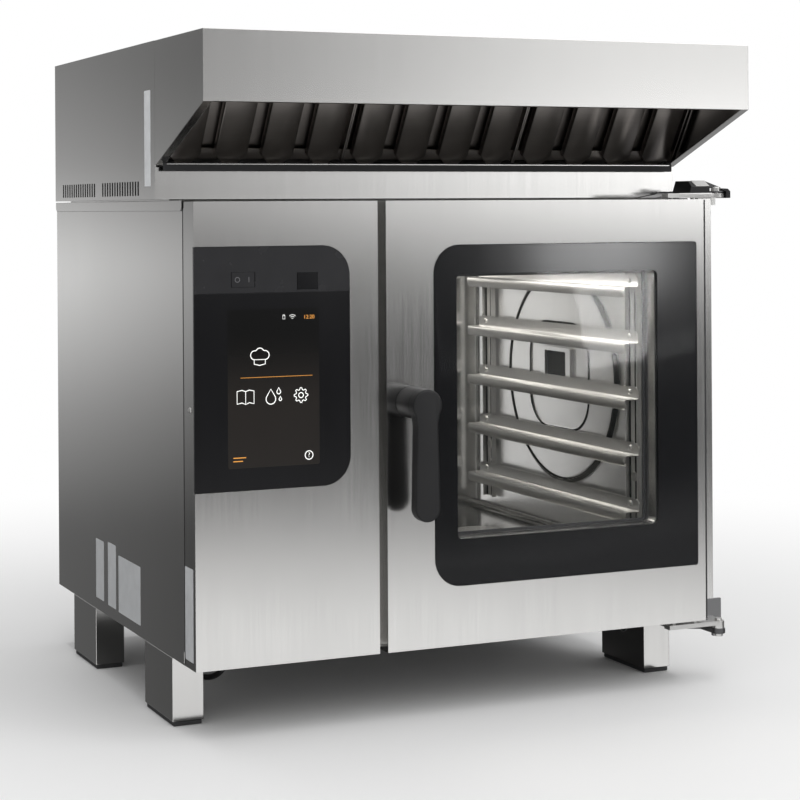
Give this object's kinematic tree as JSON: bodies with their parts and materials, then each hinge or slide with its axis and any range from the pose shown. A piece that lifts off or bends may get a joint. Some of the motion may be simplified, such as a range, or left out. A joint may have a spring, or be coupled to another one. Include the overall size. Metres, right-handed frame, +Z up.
{
  "type": "combi oven with exhaust hood",
  "caption": "Counter-top combi oven on legs with a glass control front, a swing-and-park window door, tray racks and an exhaust hood with grease filters.",
  "frame": {"origin": "bottom centre of the whole object's box, on the floor", "axes": "+Z up, +X to the right when facing the door, +Y to the rear; the door faces -Y"},
  "size_m": [0.9534, 0.853, 1.028],
  "materials": {
    "steel": "brushed",
    "polished_steel": "polished",
    "galvanised": "satin",
    "black_plastic": "matte",
    "dark_glass": "gloss",
    "clear_glass": "gloss",
    "strip_plastic": "satin",
    "rubber": "matte",
    "wool": "matte",
    "motor_paint": "satin",
    "dark_bracket": "satin",
    "heater": "matte",
    "filter_steel": "satin",
    "white_nylon": "matte",
    "pipe_plastic": "satin",
    "circuit": "satin"
  },
  "bodies": {
    "casing": {"base_pan": "galvanised", "legs": "steel", "foot_pads": "rubber", "left_side_panel": "steel", "right_side_panel": "steel", "rear_panel": "galvanised", "top_cover": "steel", "front_frame": "steel", "cavity_shell": "polished_steel", "insulation": "wool", "door_gasket": "rubber", "control_front": "steel", "control_carrier": "black_plastic", "control_glass": "dark_glass", "switch_panel": "strip_plastic", "display_module": "black_plastic", "usb_socket": "polished_steel", "electronics": "circuit", "fan_motor": "motor_paint", "heating_element": "heater", "suction_panel": "polished_steel", "wall_panel": "polished_steel", "drain_pipe": "pipe_plastic", "vent_pipe": "steel", "water_valves": "black_plastic", "cable_gland": "black_plastic", "top_hinge_bracket": "dark_bracket", "top_hinge_cap": "black_plastic", "top_end_cap": "black_plastic", "bottom_hinge_bracket": "dark_bracket", "pivot_pins": "polished_steel", "latch_keeper": "steel", "supply_hose": "rubber", "case_screws": "steel", "hood_box": "steel", "hood_canopy": "steel", "grease_gutter": "steel", "hood_motor": "motor_paint"},
    "door_carrier": {"carrier_top_arm": "steel", "carrier_bottom_arm": "steel", "carrier_post": "steel", "guide_bushes": "white_nylon"},
    "door": {"door_skin": "steel", "outer_glass": "dark_glass", "glass_frame": "black_plastic", "window_sleeve": "polished_steel", "door_back": "steel", "inner_glass": "clear_glass"},
    "handle": {"door_handle": "black_plastic"},
    "rocker": {"power_switch": "strip_plastic"},
    "flap": {"usb_flap": "black_plastic"},
    "left_rack": {"rack_left": "steel"},
    "right_rack": {"rack_right": "steel"},
    "sieve": {"drain_sieve": "steel"},
    "fan": {"fan_wheel": "steel"},
    "left_filter": {"filter_left": "filter_steel"},
    "middle_filter": {"filter_middle": "filter_steel"},
    "right_filter": {"filter_right": "filter_steel"},
    "exhaust_fan": {"hood_fan": "galvanised"}
  },
  "joints": [
    {"name": "door_swing", "type": "hinge", "parent": "casing", "child": "door_carrier", "pos_m": [0.44925, -0.3175, 0.44], "axis": [0, 0, 1], "range_deg": [0, 90]},
    {"name": "door_park", "type": "slide", "parent": "door_carrier", "child": "door", "axis": [1, 0, 0], "range_m": [0, 0.47]},
    {"name": "handle_turn", "type": "hinge", "parent": "door", "child": "handle", "pos_m": [-0.11225, -0.3295, 0.481], "axis": [0, -1, 0], "range_deg": [0, 90]},
    {"name": "power_rock", "type": "hinge", "parent": "casing", "child": "rocker", "pos_m": [-0.38125, -0.3273, 0.6715], "axis": [0, 0, 1], "range_deg": [-6, 6]},
    {"name": "flap_open", "type": "hinge", "parent": "casing", "child": "flap", "pos_m": [-0.29415, -0.3279, 0.682], "axis": [0, 0, -1], "range_deg": [0, 90]},
    {"name": "fan_spin", "type": "hinge", "parent": "casing", "child": "fan", "pos_m": [-0.11525, 0.03915, 0.45], "axis": [1, 0, 0], "continuous": true},
    {"name": "exhaust_spin", "type": "hinge", "parent": "casing", "child": "exhaust_fan", "pos_m": [-0.02025, 0.0875, 0.92], "axis": [0, 0, 1], "continuous": true},
    {"name": "left_rack_lift", "type": "slide", "parent": "casing", "child": "left_rack", "axis": [0, 0, 1], "range_m": [0, 0.02]},
    {"name": "right_rack_lift", "type": "slide", "parent": "casing", "child": "right_rack", "axis": [0, 0, 1], "range_m": [0, 0.02]},
    {"name": "sieve_lift", "type": "slide", "parent": "casing", "child": "sieve", "axis": [0, 0, 1], "range_m": [0, 0.02]},
    {"name": "left_filter_lift", "type": "slide", "parent": "casing", "child": "left_filter", "axis": [0, -0.5299, 0.848], "range_m": [0, 0.012]},
    {"name": "middle_filter_lift", "type": "slide", "parent": "casing", "child": "middle_filter", "axis": [0, -0.5299, 0.848], "range_m": [0, 0.012]},
    {"name": "right_filter_lift", "type": "slide", "parent": "casing", "child": "right_filter", "axis": [0, -0.5299, 0.848], "range_m": [0, 0.012]}
  ]
}
